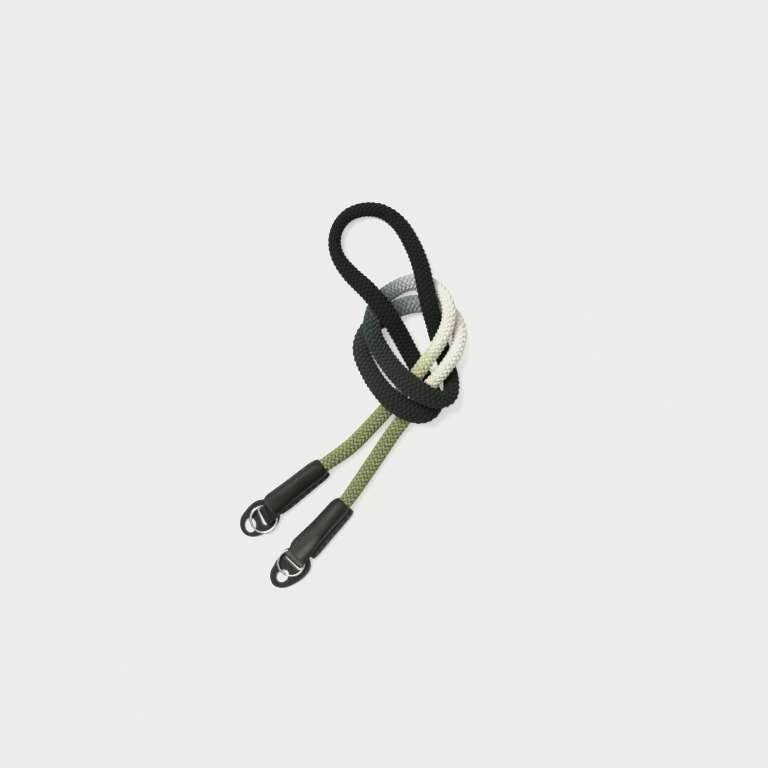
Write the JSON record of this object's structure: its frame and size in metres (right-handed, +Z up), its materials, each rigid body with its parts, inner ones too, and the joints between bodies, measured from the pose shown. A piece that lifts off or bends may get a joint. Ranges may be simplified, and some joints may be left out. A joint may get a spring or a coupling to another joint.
{
  "type": "camera neck strap",
  "caption": "Braided rope neck strap with sewn leather ends, split rings and lug pads, folded in half and tied in a loose overhand knot.",
  "frame": {"origin": "on the surface that the strap lies on, at the centre of the box round the two leather ends with their rings and pads", "axes": "+Z up; +Y from the leather ends towards the knot and the loop, as the strap lies; +X towards the knot's side"},
  "size_m": [0.1366, 0.232, 0.0292],
  "materials": {
    "braided_cord": "soft braided yarn, dyed in a long fade from olive green at the ends through cream and grey to near black at the loop",
    "black_leather": "black dyed leather with a dull sheen and a fine grain, sewn with black thread",
    "plated_steel": "bright plated spring steel"
  },
  "bodies": {
    "root": {"rope": "braided_cord", "sleeve_left": "black_leather", "sleeve_right": "black_leather", "split_ring_left": "plated_steel", "split_ring_right": "plated_steel", "lug_pad_left": "black_leather", "lug_pad_right": "black_leather"}
  },
  "joints": []
}
